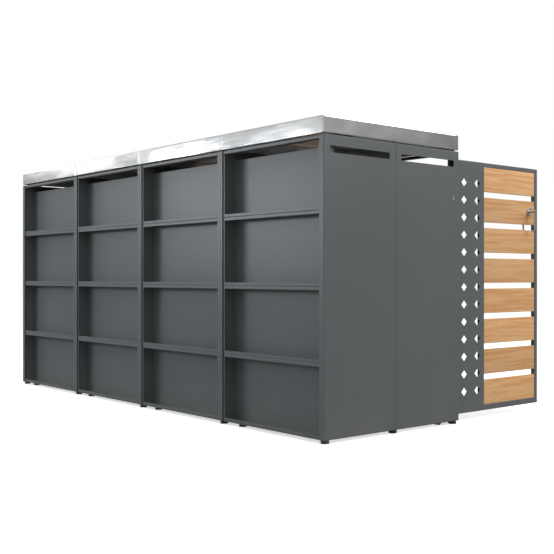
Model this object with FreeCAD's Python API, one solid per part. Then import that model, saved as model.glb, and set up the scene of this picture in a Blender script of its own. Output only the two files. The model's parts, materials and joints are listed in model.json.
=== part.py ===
"""Four-bay enclosure for wheeled recycling bins: folded steel walls, hinged lids, slatted doors.

Millimetres. +X runs along the front, the doors face -Y, +Z is up. The origin lies on the floor,
under the middle of the middle partition. Bay 1 is at the -X end and its door stands open.
"""
import FreeCAD, Part
import os

os.makedirs("parts", exist_ok=True)
V = FreeCAD.Vector

# ---- driving dimensions -------------------------------------------------------------------
BAYS = 4
PITCH = 692.0            # width of one bay
DEPTH = 840.0            # front face to rear face
GROUND_GAP = 14.0        # floor to the underside of the walls
BODY_HEIGHT = 1301.0     # underside of the walls to the top of the lids
FASCIA = 69.0            # height of a lid's turned-down edge
LID_GAP = 6.0            # shadow gap between walls and lids

SHEET = 1.5              # partitions, rear panels and lids
HEAVY = 2.0              # end walls, door skins and jambs

END_FLANGE = 27.0        # width of an end wall's folded edge
PART_FLANGE = 17.0       # width of each partition pan's folded edge
FIT = 0.3                # play between parts that slide between posts
SETBACK = 5.0            # rear panels and jambs sit this far behind the posts

SLOT_INSET = 36.0        # vent slot to the pan's edges
SLOT_LOW = 1154.0        # vent slot above the wall's underside
SLOT_TALL = 28.0

RECESS = 70.0            # rear face to the sunk rear panels
SIDE_LIP = 10.5
LEVEL_LIP = 14.0
PANEL_LEVELS = (3.5, 307.5, 615.5, 923.5)   # undersides of the stacked rear panels
VENT_SILL = 1186.5       # upper edge of the sunk sheet in the top panel
RAIL_LOW = 1210.5        # underside of the rear top rail
HEADER_TALL = 12.0
RAIL_DEEP = 30.0
SILL_TALL = 33.0

DOOR_WIDE = 631.0
DOOR_LOW = 22.5
DOOR_HIGH = 1195.5
DOOR_DEEP = 28.0
DOOR_EDGE = 30.5         # bay boundary to the door's hinge edge
WINDOW_LEFT = 201.5      # from the door's hinge edge
WINDOW_RIGHT = 606.0
WINDOW_LOW = 49.5
WINDOW_HIGH = 1175.5
WINDOW_FLANGE = 20.0
BACK_LIP = 26.0          # strip beside the window, folded back behind the perforated skin
SLATS = 8
SLAT_TALL = 116.6
SLAT_THICK = 16.0
SLAT_SUNK = 1.5
DIAMOND_COLUMNS = (52.0, 148.5)
DIAMOND_ROWS = 13
DIAMOND_PITCH = 81.0
DIAMOND_LOW = 121.5
DIAMOND_HALF = 20.0

HINGE_X = 18.0           # bay boundary to the door hinge axis
HINGE_OUT = 10.0         # the axis stands this far in front of the posts
HINGE_LEVELS = (150.0, 600.0, 1050.0)
KNUCKLE_R = 7.0
KNUCKLE_TALL = 28.0
PIN_R = 3.5
RUNNING = 0.06           # radial play of a turning knuckle on its pin

SPINDLE_H = 562.5        # from the door's hinge edge
SPINDLE_Z = 978.5
LEVER_LONG = 100.0
LEVER_PROUD = 30.0
ROSE_R = 20.0
LATCH_OUT = 10.0         # the latch stands this far out of the door's free edge
BUFFER_R = 4.0

LID_AXIS = 11.5          # lid hinge axis: in from the rear face and up from the lid's lower edge
LID_HINGES = (120.0, 540.0)
LID_KNUCKLE_R = 5.0
LID_KNUCKLE_LONG = 14.0
LID_PIN_R = 2.5

FOOT_R = 18.0
FOOT_ROWS = (-396.0, 0.0, 396.0)
RAIL_PAD_INSET = 125.0   # bay boundary to the plain pads under the rear base rail

PLUG_Y = 35.0            # front face to the blanked lock slot in each end wall
PLUG_Z = 1012.0
PLUG_WIDE = 7.0
PLUG_TALL = 18.0

# ---- derived levels and places ------------------------------------------------------------
LEFT = -BAYS * PITCH / 2
FRONT = -DEPTH / 2
REAR = DEPTH / 2
WALL_LOW = GROUND_GAP
LID_LOW = GROUND_GAP + BODY_HEIGHT - FASCIA
LID_HIGH = GROUND_GAP + BODY_HEIGHT
WALL_HIGH = LID_LOW - LID_GAP
BAY_LEFT = PART_FLANGE + FIT              # bay boundary to the panels and frames in a bay
BAY_RIGHT = PITCH - PART_FLANGE - FIT
END_FOOT = 18.5                           # end wall's face to the middle of its pads


def bay_x(bay):
    """X of a bay's -X boundary; bays count from 1."""
    return LEFT + (bay - 1) * PITCH


def rail_span(bay):
    """X ends of a bay's rails; they stop short of an end wall's top and bottom flanges."""
    x0 = LEFT + END_FLANGE + FIT if bay == 1 else bay_x(bay) + BAY_LEFT
    x1 = -LEFT - END_FLANGE - FIT if bay == BAYS else bay_x(bay) + BAY_RIGHT
    return x0, x1


def box(x0, x1, y0, y1, z0, z1):
    return Part.makeBox(x1 - x0, y1 - y0, z1 - z0, V(x0, y0, z0))


def rod(radius, start, direction, length):
    return Part.makeCylinder(radius, length, V(*start), V(*direction))


def prism(points, start, sweep):
    """Closed outline of (a, b, c) points, moved along a vector to make a solid."""
    corners = [V(*p) for p in points] + [V(*points[0])]
    face = Part.Face(Part.makePolygon(corners))
    face.translate(V(*start))
    return face.extrude(V(*sweep))


def joined(pieces):
    return pieces[0].multiFuse(pieces[1:]).removeSplitter()


def save(name, solids):
    shape = solids[0] if len(solids) == 1 else Part.makeCompound(solids)
    shape.exportStep(f"parts/{name}.step")


# ---- joining hardware, made first because the walls are drilled for it ---------------------
def join_bolts():
    """Bolts through the partition webs and through the seam of each end wall."""
    bolts = []
    for k in range(1, BAYS):
        x = bay_x(k + 1)
        for y in (FRONT + 45, REAR - 45):
            for z in (120, 640, 1160):
                shank = rod(3, (x - 5.5, y, z), (1, 0, 0), 11)
                head = rod(5.5, (x - 5.5, y, z), (1, 0, 0), 4)
                nut = rod(5.5, (x + SHEET, y, z), (1, 0, 0), 4)
                bolts.append(joined([shank, head, nut]))
    for x in (LEFT + END_FLANGE / 2 + 2, -LEFT - END_FLANGE / 2 - 2):
        for z in (200, 640, 1080):
            shank = rod(3, (x, -6, z), (0, 1, 0), 12)
            head = rod(5.5, (x, -6, z), (0, 1, 0), 4)
            nut = rod(5.5, (x, HEAVY, z), (0, 1, 0), 4)
            bolts.append(joined([shank, head, nut]))
    return bolts


def foot_places():
    xs = [LEFT + END_FOOT] + [bay_x(k + 1) for k in range(1, BAYS)] + [-LEFT - END_FOOT]
    return [(x, y) for x in xs for y in FOOT_ROWS]


def screw_places(x, y):
    """Two per pad: one each side of a partition's seam, or in line along an end wall."""
    at_end = abs(x) > -LEFT - PITCH / 2
    if not at_end:
        return [(x - 7, y), (x + 7, y)]
    inward = -1 if x > 0 else 1
    return [(x - 6 * inward, y - 8), (x - 6 * inward, y + 8)]


def foot_screws():
    """Tapping screws that hold the pads under the walls."""
    screws = []
    for place in foot_places():
        for x, y in screw_places(*place):
            shank = rod(2.2, (x, y, WALL_LOW - 8), (0, 0, 1), 10)
            head = rod(4.2, (x, y, WALL_LOW + HEAVY), (0, 0, 1), 2.6)
            screws.append(joined([shank, head]))
    return screws


BOLTS = join_bolts()
SCREWS = foot_screws()


def drilled(shape, hardware):
    near = [h for h in hardware if h.BoundBox.intersect(shape.BoundBox)]
    return shape.cut(Part.makeCompound(near)) if near else shape


# ---- walls ----------------------------------------------------------------------------------
def end_wall_pan(side, y0, y1):
    """Folded pan, open inwards: skin, four edge flanges, one vent slot. side is -1 or +1."""
    outer = LEFT * -side
    skin = sorted((outer, outer - side * HEAVY))
    body = sorted((outer, outer - side * END_FLANGE))
    hollow = sorted((outer - side * HEAVY, outer - side * END_FLANGE))
    pan = box(*body, y0, y1, WALL_LOW, WALL_HIGH)
    pan = pan.cut(box(*hollow, y0 + HEAVY, y1 - HEAVY, WALL_LOW + HEAVY, WALL_HIGH - HEAVY))
    slot_low = GROUND_GAP + SLOT_LOW
    pan = pan.cut(box(*skin, y0 + SLOT_INSET, y1 - SLOT_INSET, slot_low, slot_low + SLOT_TALL))
    pan = pan.cut(oblong(side, -side * HEAVY))
    return drilled(drilled(pan, BOLTS), SCREWS)


def oblong(side, deep, shrink=0):
    """Upright round-ended block at an end wall's lock slot, deep mm inwards from its face."""
    outer = LEFT * -side
    y = FRONT + PLUG_Y
    r = PLUG_WIDE / 2 - shrink
    reach = (PLUG_TALL - PLUG_WIDE) / 2
    z = GROUND_GAP + PLUG_Z
    ends = [rod(r, (outer, y, z + way * reach), (-side, 0, 0), abs(deep)) for way in (-1, 1)]
    middle = box(*sorted((outer, outer + deep)), y - r, y + r, z - reach, z + reach)
    return joined([middle] + ends)


def slot_plug(side):
    """Stainless blanking plug: flush in the slot, with a wider flange inside the skin."""
    outer = LEFT * -side
    inner = outer - side * HEAVY
    z = GROUND_GAP + PLUG_Z
    y = FRONT + PLUG_Y
    flange = box(*sorted((inner, inner - side * 1.5)), y - 7, y + 7, z - 13, z + 13)
    return joined([oblong(side, -side * HEAVY, shrink=0.1), flange])


def partition(k):
    """Two full-depth pans back to back between bay k and bay k + 1."""
    x = bay_x(k + 1)
    pans = []
    for side in (-1, 1):
        body = sorted((x, x + side * PART_FLANGE))
        hollow = sorted((x + side * SHEET, x + side * PART_FLANGE))
        pan = box(*body, FRONT, REAR, WALL_LOW, WALL_HIGH)
        inner = box(*hollow, FRONT + SHEET, REAR - SHEET, WALL_LOW + HEAVY, WALL_HIGH - SHEET)
        pans.append(drilled(drilled(pan.cut(inner), BOLTS), SCREWS))
    return pans


# ---- rear -------------------------------------------------------------------------------------
def rear_panel(bay, level):
    """One cassette of the rear wall; the top one leaves a vent gap under the rail."""
    x0 = bay_x(bay) + BAY_LEFT
    x1 = bay_x(bay) + BAY_RIGHT
    top = level == len(PANEL_LEVELS) - 1
    z0 = GROUND_GAP + PANEL_LEVELS[level]
    z1 = GROUND_GAP + (RAIL_LOW - 1 if top else PANEL_LEVELS[level + 1] - 0.3)
    y_face = REAR - SETBACK
    y_web = REAR - RECESS
    cassette = box(x0, x1, y_web - SHEET, y_face, z0, z1)
    roof = z1 if top else z1 - SHEET
    cassette = cassette.cut(box(x0 + SHEET, x1 - SHEET, y_web, y_face - SHEET, z0 + SHEET, roof))
    lip_top = z1 if top else z1 - LEVEL_LIP
    opening = box(x0 + SIDE_LIP, x1 - SIDE_LIP, y_face - SHEET, y_face, z0 + LEVEL_LIP, lip_top)
    cassette = cassette.cut(opening)
    if top:
        vent = box(x0 + SHEET, x1 - SHEET, y_web - SHEET, y_web, GROUND_GAP + VENT_SILL, z1)
        cassette = cassette.cut(vent)
    return cassette


def rear_top_rail(bay):
    x0, x1 = rail_span(bay)
    y1 = REAR - SETBACK
    y0 = y1 - RAIL_DEEP
    z0 = GROUND_GAP + RAIL_LOW
    rail = box(x0, x1, y0, y1, z0, WALL_HIGH)
    return rail.cut(box(x0, x1, y0, y1 - HEAVY, z0 + HEAVY, WALL_HIGH - HEAVY))


def rear_base_rail(bay):
    """Angle that the lowest rear panel stands on, with its upstand behind the sheet."""
    x0, x1 = rail_span(bay)
    back = REAR - RECESS - SHEET
    floor = GROUND_GAP + PANEL_LEVELS[0]
    shelf = box(x0, x1, back - 3, REAR - SETBACK, WALL_LOW, floor)
    upstand = box(x0, x1, back - 3, back, WALL_LOW, floor + 40)
    return joined([shelf, upstand])


# ---- front --------------------------------------------------------------------------------------
def jamb(bay, side):
    """Z-folded jamb: set-back face, reveal beside the door, stop lip behind it."""
    y_face = FRONT + SETBACK
    y_stop = FRONT + DOOR_DEEP + SETBACK
    z0 = SILL_TALL
    z1 = WALL_HIGH - HEADER_TALL
    outer = bay_x(bay) + (BAY_LEFT if side < 0 else BAY_RIGHT)
    inner = outer - side * SIDE_LIP
    lip = inner - side * 8
    face = box(*sorted((outer, inner)), y_face, y_face + HEAVY, z0, z1)
    reveal = box(*sorted((inner, inner + side * HEAVY)), y_face, y_stop + HEAVY, z0, z1)
    stop = box(*sorted((inner, lip)), y_stop, y_stop + HEAVY, z0, z1)
    return joined([face, reveal, stop])


def header(bay):
    x0, x1 = rail_span(bay)
    y_face = FRONT + SETBACK
    z0 = WALL_HIGH - HEADER_TALL
    channel = box(x0, x1, y_face, y_face + RAIL_DEEP, z0, WALL_HIGH)
    return channel.cut(box(x0, x1, y_face + HEAVY, y_face + RAIL_DEEP, z0 + HEAVY, WALL_HIGH - HEAVY))


def sill(bay):
    """Threshold with a low ramp behind it for bin wheels."""
    x0, x1 = rail_span(bay)
    y_face = FRONT + SETBACK
    tread = y_face + 42
    toe = tread + 60
    outline = [(0, y_face, 0), (0, y_face, SILL_TALL), (0, tread, SILL_TALL), (0, toe, 3),
               (0, toe, 0), (0, toe - 5, 0), (0, tread - 1.5, SILL_TALL - 3),
               (0, y_face + 3, SILL_TALL - 3), (0, y_face + 3, 0)]
    return prism(outline, (x0, 0, 0), (x1 - x0, 0, 0))


def front_frame(bay):
    """The four members of a door surround, which meet edge to edge at their welds."""
    latch_jamb = jamb(bay, 1).cut(latch_window(bay))
    return [header(bay), sill(bay), jamb(bay, -1), latch_jamb]


def latch_window(bay):
    """Space that the latch enters when the door is shut."""
    x = bay_x(bay) + BAY_RIGHT - SIDE_LIP
    z = GROUND_GAP + SPINDLE_Z
    return box(x - 2, x + HEAVY, FRONT + 19.5, FRONT + 27, z - 10, z + 10)


def strike_plate(bay):
    x = bay_x(bay) + BAY_RIGHT - SIDE_LIP
    z = GROUND_GAP + SPINDLE_Z
    plate = box(x - 1.2, x, FRONT + 8, FRONT + 31, z - 32, z + 32)
    return plate.cut(latch_window(bay))


def door_buffers(bay):
    """Rubber studs on the latch-side stop lip."""
    x = bay_x(bay) + BAY_RIGHT - SIDE_LIP - BUFFER_R - 0.2
    y = FRONT + DOOR_DEEP
    return [rod(BUFFER_R, (x, y, z), (0, 1, 0), SETBACK) for z in (110, 620, 1130)]


# ---- doors: drawn shut, in bay coordinates; turned by hung() ----------------------------------
def hung(bay, shape):
    """Move a shut door's piece to its bay; bay 1's door stands open by a right angle."""
    placed = shape.copy()
    placed.translate(V(bay_x(bay), FRONT, GROUND_GAP))
    if bay == 1:
        placed.rotate(V(bay_x(bay) + HINGE_X, FRONT - HINGE_OUT, 0), V(0, 0, 1), -90)
    return placed


def diamond(column, row):
    x = DOOR_EDGE + column
    z = DIAMOND_LOW + row * DIAMOND_PITCH
    r = DIAMOND_HALF
    corners = [(x - r, 0, z), (x, 0, z + r), (x + r, 0, z), (x, 0, z - r)]
    return prism(corners, (0, -1, 0), (0, HEAVY + 2, 0))


def door_frame():
    """Folded skin with a slat window, edge flanges, window flanges and diamond cut-outs."""
    x0 = DOOR_EDGE
    x1 = DOOR_EDGE + DOOR_WIDE
    skin = box(x0, x1, 0, DOOR_DEEP, DOOR_LOW, DOOR_HIGH)
    skin = skin.cut(box(x0 + HEAVY, x1 - HEAVY, HEAVY, DOOR_DEEP, DOOR_LOW + HEAVY, DOOR_HIGH - HEAVY))
    wx0 = DOOR_EDGE + WINDOW_LEFT
    wx1 = DOOR_EDGE + WINDOW_RIGHT
    rim = box(wx0 - HEAVY, wx1 + HEAVY, 0, WINDOW_FLANGE, WINDOW_LOW - HEAVY, WINDOW_HIGH + HEAVY)
    back = box(wx0 - BACK_LIP, wx0, WINDOW_FLANGE - HEAVY, WINDOW_FLANGE, WINDOW_LOW, WINDOW_HIGH)
    frame = joined([skin, rim, back])
    frame = frame.cut(box(wx0, wx1, -1, DOOR_DEEP, WINDOW_LOW, WINDOW_HIGH))
    holes = [diamond(c, r) for c in DIAMOND_COLUMNS for r in range(DIAMOND_ROWS)]
    frame = frame.cut(Part.makeCompound(holes))
    exit_hole = box(x1 - HEAVY, x1, 20, 27, SPINDLE_Z - 9, SPINDLE_Z + 9)
    return frame.cut(exit_hole)


def slats():
    """Eight boards between the window flanges; the second from the top carries the handle."""
    gap = (WINDOW_HIGH - WINDOW_LOW - SLATS * SLAT_TALL) / (SLATS - 1)
    x0 = DOOR_EDGE + WINDOW_LEFT
    x1 = DOOR_EDGE + WINDOW_RIGHT
    boards = []
    for n in range(SLATS):
        z = WINDOW_LOW + n * (SLAT_TALL + gap)
        board = box(x0, x1, SLAT_SUNK, SLAT_SUNK + SLAT_THICK, z, z + SLAT_TALL)
        if n == SLATS - 2:
            board = board.cut(spindle_hole(5))
        boards.append(board)
    return boards


def spindle_hole(radius):
    return rod(radius, (DOOR_EDGE + SPINDLE_H, -20, SPINDLE_Z), (0, 1, 0), 80)


def lock_case():
    """Flat lock box behind the handle's board, with the channel that the latch slides in."""
    x1 = DOOR_EDGE + WINDOW_RIGHT
    y0 = SLAT_SUNK + SLAT_THICK
    case = box(x1 - 72, x1, y0, y0 + 10, SPINDLE_Z - 52, SPINDLE_Z + 44)
    channel = box(x1 - 26, x1, y0 + 3, y0 + 9, SPINDLE_Z - 8.5, SPINDLE_Z + 8.5)
    return case.cut(channel).cut(spindle_hole(4.3))


def latch():
    """Spring latch: flat bolt with a bevelled nose that rides over the strike plate."""
    x0 = DOOR_EDGE + WINDOW_RIGHT - 15
    x1 = DOOR_EDGE + DOOR_WIDE + LATCH_OUT
    y0 = SLAT_SUNK + SLAT_THICK + 3.3
    y1 = y0 + 5.4
    outline = [(x0, y0, 0), (x1, y0, 0), (x1 - 7, y1, 0), (x0, y1, 0)]
    return prism(outline, (0, 0, SPINDLE_Z - 8), (0, 0, 16))


def roses():
    """Round cover plates on the outer board and on the back of the lock."""
    y_back = SLAT_SUNK + SLAT_THICK + 10
    x = DOOR_EDGE + SPINDLE_H
    outer = rod(ROSE_R, (x, SLAT_SUNK - 5, SPINDLE_Z), (0, 1, 0), 5)
    inner = rod(ROSE_R - 4, (x, y_back, SPINDLE_Z), (0, 1, 0), 2.5)
    return [plate.cut(spindle_hole(7.3)) for plate in (outer, inner)]


def lever(y_from, y_arm, thick):
    """Hanging lever: round neck, tapering arm and a slightly turned-out foot."""
    x = DOOR_EDGE + SPINDLE_H
    out = 1 if y_arm > y_from else -1
    neck = rod(7, (x, y_from, SPINDLE_Z), (0, out, 0), abs(y_arm - y_from))
    hub = rod(9.5, (x, y_arm, SPINDLE_Z), (0, out, 0), thick)
    low = SPINDLE_Z - LEVER_LONG
    arm = prism([(x - 8, y_arm, SPINDLE_Z), (x + 8, y_arm, SPINDLE_Z),
                 (x + 6, y_arm, low), (x - 6, y_arm, low)], (0, 0, 0), (0, out * thick, 0))
    return [neck, hub, arm]


def handle():
    """Outer lever, square-shouldered spindle and low inner lever, pinned together as one."""
    y_back = SLAT_SUNK + SLAT_THICK + 12.5
    outer = lever(SLAT_SUNK - 5, SLAT_SUNK - LEVER_PROUD, 8)
    inner = lever(y_back, y_back + 2, 6)
    spindle = rod(4, (DOOR_EDGE + SPINDLE_H, SLAT_SUNK - LEVER_PROUD, SPINDLE_Z), (0, 1, 0),
                  LEVER_PROUD + SLAT_THICK + 16.5)
    boss_out = rod(7, (DOOR_EDGE + SPINDLE_H, SLAT_SUNK - 5, SPINDLE_Z), (0, 1, 0), 4.5)
    boss_in = rod(7, (DOOR_EDGE + SPINDLE_H, y_back - 2.2, SPINDLE_Z), (0, 1, 0), 2.2)
    return joined(outer + inner + [spindle, boss_out, boss_in])


def hinge_axis_rod(radius, z, length):
    return rod(radius, (HINGE_X, -HINGE_OUT, z), (0, 0, 1), length)


def door_leaf(z):
    """Moving half of a door hinge: plate on the door's skin and the upper knuckle."""
    low = z + KNUCKLE_TALL + 0.4
    high = low + KNUCKLE_TALL
    plate = box(DOOR_EDGE + 0.5, DOOR_EDGE + 12, -3, 0, z, high)
    bridge = box(HINGE_X, DOOR_EDGE + 2, -6.5, -0.5, low, high)
    knuckle = hinge_axis_rod(KNUCKLE_R, low, KNUCKLE_TALL)
    return joined([plate, bridge, knuckle]).cut(hinge_axis_rod(PIN_R + RUNNING, z, 80))


def post_leaf(z):
    """Fixed half of a door hinge: plate on the post and the lower knuckle."""
    high = z + KNUCKLE_TALL
    plate = box(2, PART_FLANGE - 0.5, -3, 0, z, high + KNUCKLE_TALL)
    bridge = box(9, HINGE_X, -7, -0.5, z, high)
    knuckle = hinge_axis_rod(KNUCKLE_R, z, KNUCKLE_TALL)
    leaf = joined([plate, bridge, knuckle])
    clear = hinge_axis_rod(KNUCKLE_R + 0.5, high, KNUCKLE_TALL + 1)
    return leaf.cut(hinge_axis_rod(PIN_R, z - 1, 80)).cut(clear)


def hinge_pin(z):
    cap = hinge_axis_rod(PIN_R + 1.8, z + 2 * KNUCKLE_TALL + 0.8, 2.5)
    return joined([hinge_axis_rod(PIN_R, z, 2 * KNUCKLE_TALL + 1), cap])


def at_post(bay, shape):
    placed = shape.copy()
    placed.translate(V(bay_x(bay), FRONT, GROUND_GAP))
    return placed


# ---- lids ---------------------------------------------------------------------------------------
LID_AXIS_Y = REAR - LID_AXIS
LID_AXIS_Z = LID_LOW + LID_AXIS


def lid(bay):
    """Stainless cover: tray turned down on four sides, lips inside, two welded knuckles."""
    x0 = bay_x(bay) + 0.5
    x1 = bay_x(bay) + PITCH - 0.5
    tray = box(x0, x1, FRONT, REAR, LID_LOW, LID_HIGH)
    tray = tray.cut(box(x0 + SHEET, x1 - SHEET, FRONT + SHEET, REAR - SHEET, LID_LOW, LID_HIGH - SHEET))
    lips = [box(x0 + SHEET, x0 + 15, FRONT + 1, REAR - 40, LID_LOW, LID_LOW + SHEET),
            box(x1 - 15, x1 - SHEET, FRONT + 1, REAR - 40, LID_LOW, LID_LOW + SHEET),
            box(x0 + 1, x1 - 1, FRONT + SHEET, FRONT + 15, LID_LOW, LID_LOW + SHEET)]
    arms = []
    bores = []
    for place in LID_HINGES:
        x = bay_x(bay) + place + LID_KNUCKLE_LONG + 0.4
        arms.append(box(x, x + LID_KNUCKLE_LONG, LID_AXIS_Y, REAR - 1, LID_AXIS_Z - 4, LID_AXIS_Z + 4))
        arms.append(rod(LID_KNUCKLE_R, (x, LID_AXIS_Y, LID_AXIS_Z), (1, 0, 0), LID_KNUCKLE_LONG))
        bores.append(rod(LID_PIN_R + RUNNING, (x, LID_AXIS_Y, LID_AXIS_Z), (1, 0, 0), LID_KNUCKLE_LONG))
    return joined([tray] + lips + arms).cut(Part.makeCompound(bores))


def lid_bracket(bay, place):
    """Fixed half of a lid hinge: upright on the rear rail, arm reaching back to the knuckle."""
    x0 = bay_x(bay) + place
    x1 = x0 + LID_KNUCKLE_LONG
    y0 = REAR - SETBACK - RAIL_DEEP + 2
    foot = box(x0 - 14, x1 + 14, y0, y0 + 14, WALL_HIGH, WALL_HIGH + 2.5)
    upright = box(x0, x1, y0, y0 + 3, WALL_HIGH, LID_AXIS_Z + 4)
    arm = box(x0, x1, y0, LID_AXIS_Y, LID_AXIS_Z - 4, LID_AXIS_Z + 4)
    knuckle = rod(LID_KNUCKLE_R, (x0, LID_AXIS_Y, LID_AXIS_Z), (1, 0, 0), LID_KNUCKLE_LONG)
    bracket = joined([foot, upright, arm, knuckle])
    return bracket.cut(rod(LID_PIN_R, (x0 - 1, LID_AXIS_Y, LID_AXIS_Z), (1, 0, 0), LID_KNUCKLE_LONG + 2))


def lid_pin(bay, place):
    x0 = bay_x(bay) + place
    long = 2 * LID_KNUCKLE_LONG + 1
    shank = rod(LID_PIN_R, (x0, LID_AXIS_Y, LID_AXIS_Z), (1, 0, 0), long)
    cap = rod(LID_PIN_R + 1.5, (x0 + long, LID_AXIS_Y, LID_AXIS_Z), (1, 0, 0), 2)
    return joined([shank, cap])


def lid_buffers(bay):
    """Rubber studs on the flanges each side of a bay, which the lid's lips rest on."""
    xs = (bay_x(bay) + 10, bay_x(bay) + PITCH - 10)
    return [rod(5, (x, y, WALL_HIGH), (0, 0, 1), LID_GAP) for x in xs for y in (FRONT + 30, 0, REAR - 90)]


# ---- feet -----------------------------------------------------------------------------------------
def foot_pad(x, y):
    pad = rod(FOOT_R, (x, y, 0), (0, 0, 1), WALL_LOW)
    return drilled(pad, SCREWS)


def rail_pad(bay):
    """One plain pad glued under each rear base rail, near its +X end."""
    y = REAR - RECESS / 2
    x = bay_x(bay) + PITCH - RAIL_PAD_INSET
    return rod(FOOT_R, (x, y, 0), (0, 0, 1), WALL_LOW)


# ---- write every node -------------------------------------------------------------------------------
def write_all():
    bays = range(1, BAYS + 1)
    save("end_wall_left_rear", [end_wall_pan(-1, 0, REAR)])
    save("end_wall_left_front", [end_wall_pan(-1, FRONT, 0)])
    save("end_wall_right_rear", [end_wall_pan(1, 0, REAR)])
    save("end_wall_right_front", [end_wall_pan(1, FRONT, 0)])
    for k in range(1, BAYS):
        save(f"partition_{k}", partition(k))
    for bay in bays:
        save(f"rear_panels_{bay}", [rear_panel(bay, n) for n in range(len(PANEL_LEVELS))])
        save(f"front_frame_{bay}", front_frame(bay))
        save(f"lid_{bay}", [lid(bay)])
        save(f"door_{bay}_frame", [hung(bay, door_frame())])
        save(f"door_{bay}_slats", [hung(bay, board) for board in slats()])
        save(f"door_{bay}_hinge_leaves", [hung(bay, door_leaf(z)) for z in HINGE_LEVELS])
        save(f"door_{bay}_lock_case", [hung(bay, lock_case())])
        save(f"door_{bay}_roses", [hung(bay, plate) for plate in roses()])
        save(f"door_{bay}_handle", [hung(bay, handle())])
        save(f"door_{bay}_latch", [hung(bay, latch())])
    save("rear_top_rails", [rear_top_rail(bay) for bay in bays])
    save("rear_base_rails", [rear_base_rail(bay) for bay in bays])
    save("door_hinge_posts", [at_post(bay, post_leaf(z)) for bay in bays for z in HINGE_LEVELS])
    save("door_hinge_pins", [at_post(bay, hinge_pin(z)) for bay in bays for z in HINGE_LEVELS])
    save("lid_hinge_brackets", [lid_bracket(bay, place) for bay in bays for place in LID_HINGES])
    save("lid_hinge_pins", [lid_pin(bay, place) for bay in bays for place in LID_HINGES])
    save("strike_plates", [strike_plate(bay) for bay in bays])
    save("door_buffers", [stud for bay in bays for stud in door_buffers(bay)])
    save("lid_buffers", [stud for bay in bays for stud in lid_buffers(bay)])
    wall_pads = [foot_pad(x, y) for x, y in foot_places()]
    save("foot_pads", wall_pads + [rail_pad(bay) for bay in bays])
    save("end_wall_plugs", [slot_plug(side) for side in (-1, 1)])
    save("foot_screws", SCREWS)
    save("join_bolts", BOLTS)


write_all()
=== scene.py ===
# %% [markdown]
# # A station for four wheeled bins
#
# The object is a row of four bays made of folded sheet steel. The walls are powder coated in
# anthracite grey, the four lids are polished stainless steel, and each door carries eight oiled
# boards. One door stands open. The exact shapes of the folded parts come from the CAD frame.
# This lesson gives them what a drawing leaves out: the radius of every fold, the finish of every
# surface, and the small turned and cast pieces that repeat.

# %% Load the frame
import json
import math
import bmesh
import bpy
from mathutils import Euler, Matrix, Vector
from mathutils.bvhtree import BVHTree
from mathutils.geometry import area_tri, delaunay_2d_cdt


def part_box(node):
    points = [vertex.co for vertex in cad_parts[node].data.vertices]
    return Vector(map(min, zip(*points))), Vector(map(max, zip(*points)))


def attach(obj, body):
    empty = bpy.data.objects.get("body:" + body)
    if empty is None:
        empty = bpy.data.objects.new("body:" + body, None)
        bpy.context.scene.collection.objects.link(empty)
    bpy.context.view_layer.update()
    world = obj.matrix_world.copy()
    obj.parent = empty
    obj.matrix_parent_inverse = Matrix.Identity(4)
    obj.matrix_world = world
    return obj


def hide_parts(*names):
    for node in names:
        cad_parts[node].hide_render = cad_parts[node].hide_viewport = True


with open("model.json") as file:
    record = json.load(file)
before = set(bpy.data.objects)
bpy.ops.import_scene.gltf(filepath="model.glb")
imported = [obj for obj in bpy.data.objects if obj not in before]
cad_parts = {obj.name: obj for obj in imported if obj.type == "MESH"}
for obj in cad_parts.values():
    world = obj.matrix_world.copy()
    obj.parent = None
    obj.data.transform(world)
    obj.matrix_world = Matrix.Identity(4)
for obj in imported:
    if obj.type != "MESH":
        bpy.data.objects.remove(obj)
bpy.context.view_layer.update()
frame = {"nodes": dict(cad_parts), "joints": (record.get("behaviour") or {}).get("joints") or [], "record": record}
MM = 0.001

# %% [markdown]
# ## Where things are
#
# Nothing is placed by eye. The bays are counted from the door boards, the hinge and spindle axes are
# read from the joints, and the door's own directions follow from whether it hangs shut or stands open.
# Reading places from the frame keeps every piece right when the drawing changes.

# %% Places from the frame
joints = {joint["name"]: joint for joint in frame["joints"]}
bays = range(1, 1 + sum(name.endswith("_slats") for name in frame["nodes"]))
body_of_node = {}
for body, members in frame["record"]["behaviour"]["bodies"].items():
    for member in members:
        body_of_node[member] = body
slot_of_node = {part["node"]: part["material_slot"] for part in frame["record"]["subparts"]}


def door_turn(bay):
    """Quarter turn of a door that stands open; none for a shut one."""
    low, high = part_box(f"door_{bay}_frame")
    stands_open = high.y - low.y > high.x - low.x
    return Matrix.Rotation(math.radians(-90 if stands_open else 0), 4, "Z")


def spindle_frame(bay):
    """Matrix from handle coordinates (x to the free edge, -y outwards, z up) to the object."""
    place = Vector(joints[f"handle_{bay}_turn"]["pos_m"])
    return Matrix.Translation(place) @ door_turn(bay)


print("bays", list(bays), "open:", [b for b in bays if door_turn(b) != Matrix.Identity(4)])

# %% [markdown]
# ## Camera, floor and light
#
# The camera looks level from behind the end of the row, with a longish lens, so uprights stay
# upright. The floor is plain and pale. Polished steel shows whatever stands around it, so the
# light is chosen for its reflections: a wide soft panel opposite the rear wall gives the lids
# their white sweep and lifts the upper panels, and the side beyond the end wall stays calm.

# %% Camera
EYE = Vector((-4.083, 2.928, 0.668))
LOOK = Vector((0.766, -0.643, 0.0))
LENS = 60.1

camera_data = bpy.data.cameras.new("camera")
camera_data.lens = LENS
camera_data.sensor_width = 36.0
camera = bpy.data.objects.new("camera", camera_data)
camera.location = EYE
camera.rotation_euler = LOOK.to_track_quat("-Z", "Y").to_euler()
bpy.context.scene.collection.objects.link(camera)
bpy.context.scene.camera = camera
bpy.context.scene.view_settings.view_transform = "Standard"
print("camera", [round(v, 3) for v in EYE], "lens", LENS)


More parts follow.
